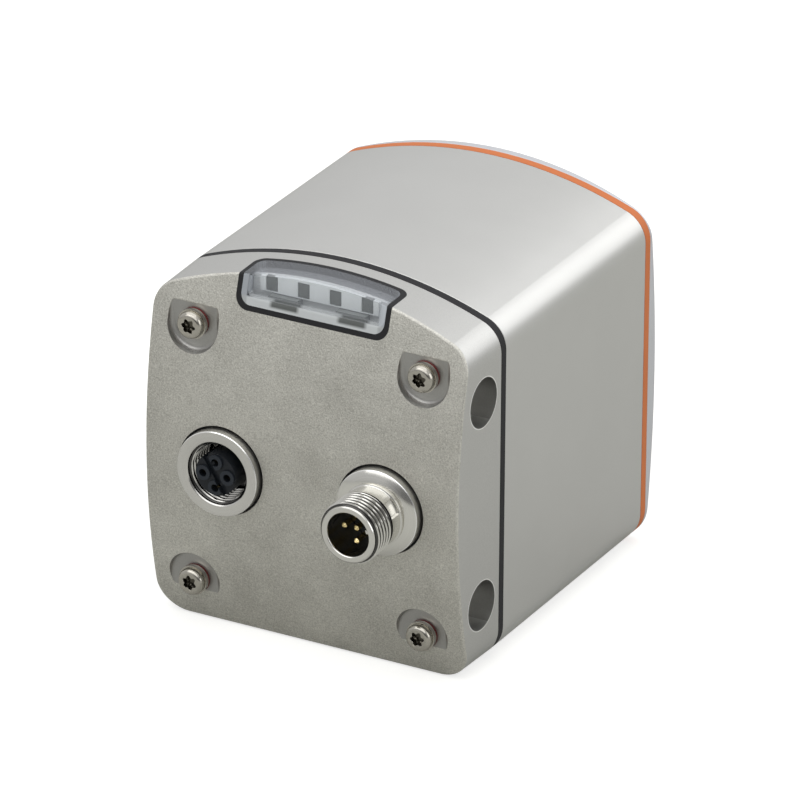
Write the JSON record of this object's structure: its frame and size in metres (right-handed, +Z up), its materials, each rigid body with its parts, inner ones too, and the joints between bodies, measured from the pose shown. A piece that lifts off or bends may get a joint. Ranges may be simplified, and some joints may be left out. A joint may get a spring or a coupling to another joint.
{
  "type": "time-of-flight camera",
  "caption": "Compact industrial depth camera: satin metal body with a domed blasted rear cap, clear status window, round male and female connectors and side bores.",
  "frame": {"origin": "on the surface that the camera stands on, below the middle of its overall length and width", "axes": "+Y along the optical axis towards the front, +Z up, +X to the right as seen from behind"},
  "size_m": [0.065, 0.0892, 0.072],
  "materials": {
    "blasted_metal": "bead-blasted casting",
    "satin_metal": "satin",
    "machined_metal": "machined",
    "nickel": "nickel plate",
    "steel": "stainless",
    "gold": "gold plate",
    "black_rubber": "matt",
    "orange_rubber": "matt",
    "red_seal": "matt",
    "thermal": "matt",
    "clear_plastic": "clear",
    "window_glass": "dark filter glass",
    "lens_glass": "coated",
    "black_plastic": "matt",
    "black_metal": "black anodised",
    "white_plastic": "matt",
    "board": "solder mask",
    "chip": "moulded",
    "light": "unlit",
    "flex": "polyimide"
  },
  "bodies": {
    "root": {"cap_screws": "steel", "chassis_screws": "steel", "emitter_board_left": "board", "emitter_board_right": "board", "emitter_headers": "black_plastic", "emitter_lens_left": "clear_plastic", "emitter_lens_right": "clear_plastic", "emitter_reflector_left": "white_plastic", "emitter_reflector_right": "white_plastic", "emitters_left": "light", "emitters_right": "light", "front_cover": "satin_metal", "front_lens": "lens_glass", "front_seal": "orange_rubber", "front_spacers": "steel", "front_window": "window_glass", "front_window_seal": "black_rubber", "heat_spreader": "machined_metal", "image_sensor": "chip", "infrared_filter": "window_glass", "interface_board": "board", "interface_header": "black_plastic", "led_board": "board", "led_drivers": "chip", "led_frame": "white_plastic", "lens_barrel": "black_metal", "lens_holder": "black_plastic", "lens_retainer": "black_metal", "lens_spacers": "black_metal", "light_baffle": "black_plastic", "main_housing": "satin_metal", "memory_chips": "chip", "middle_lens": "lens_glass", "middle_spacers": "steel", "optics_chassis": "machined_metal", "plug_insert": "black_plastic", "plug_nut": "nickel", "plug_pins": "gold", "plug_seal": "black_rubber", "plug_shell": "nickel", "processor_board": "board", "processor_chip": "chip", "rear_cap": "blasted_metal", "rear_gasket": "black_rubber", "rear_lens": "lens_glass", "rear_spacers": "steel", "screw_seals": "red_seal", "sensor_board": "board", "sensor_header": "black_plastic", "socket_contacts": "gold", "socket_insert": "black_plastic", "socket_nut": "nickel", "socket_seal": "black_rubber", "socket_shell": "nickel", "stack_screws": "steel", "status_flex": "flex", "status_leds": "light", "status_window": "clear_plastic", "status_window_gasket": "black_rubber", "thermal_pad": "thermal"}
  },
  "joints": []
}
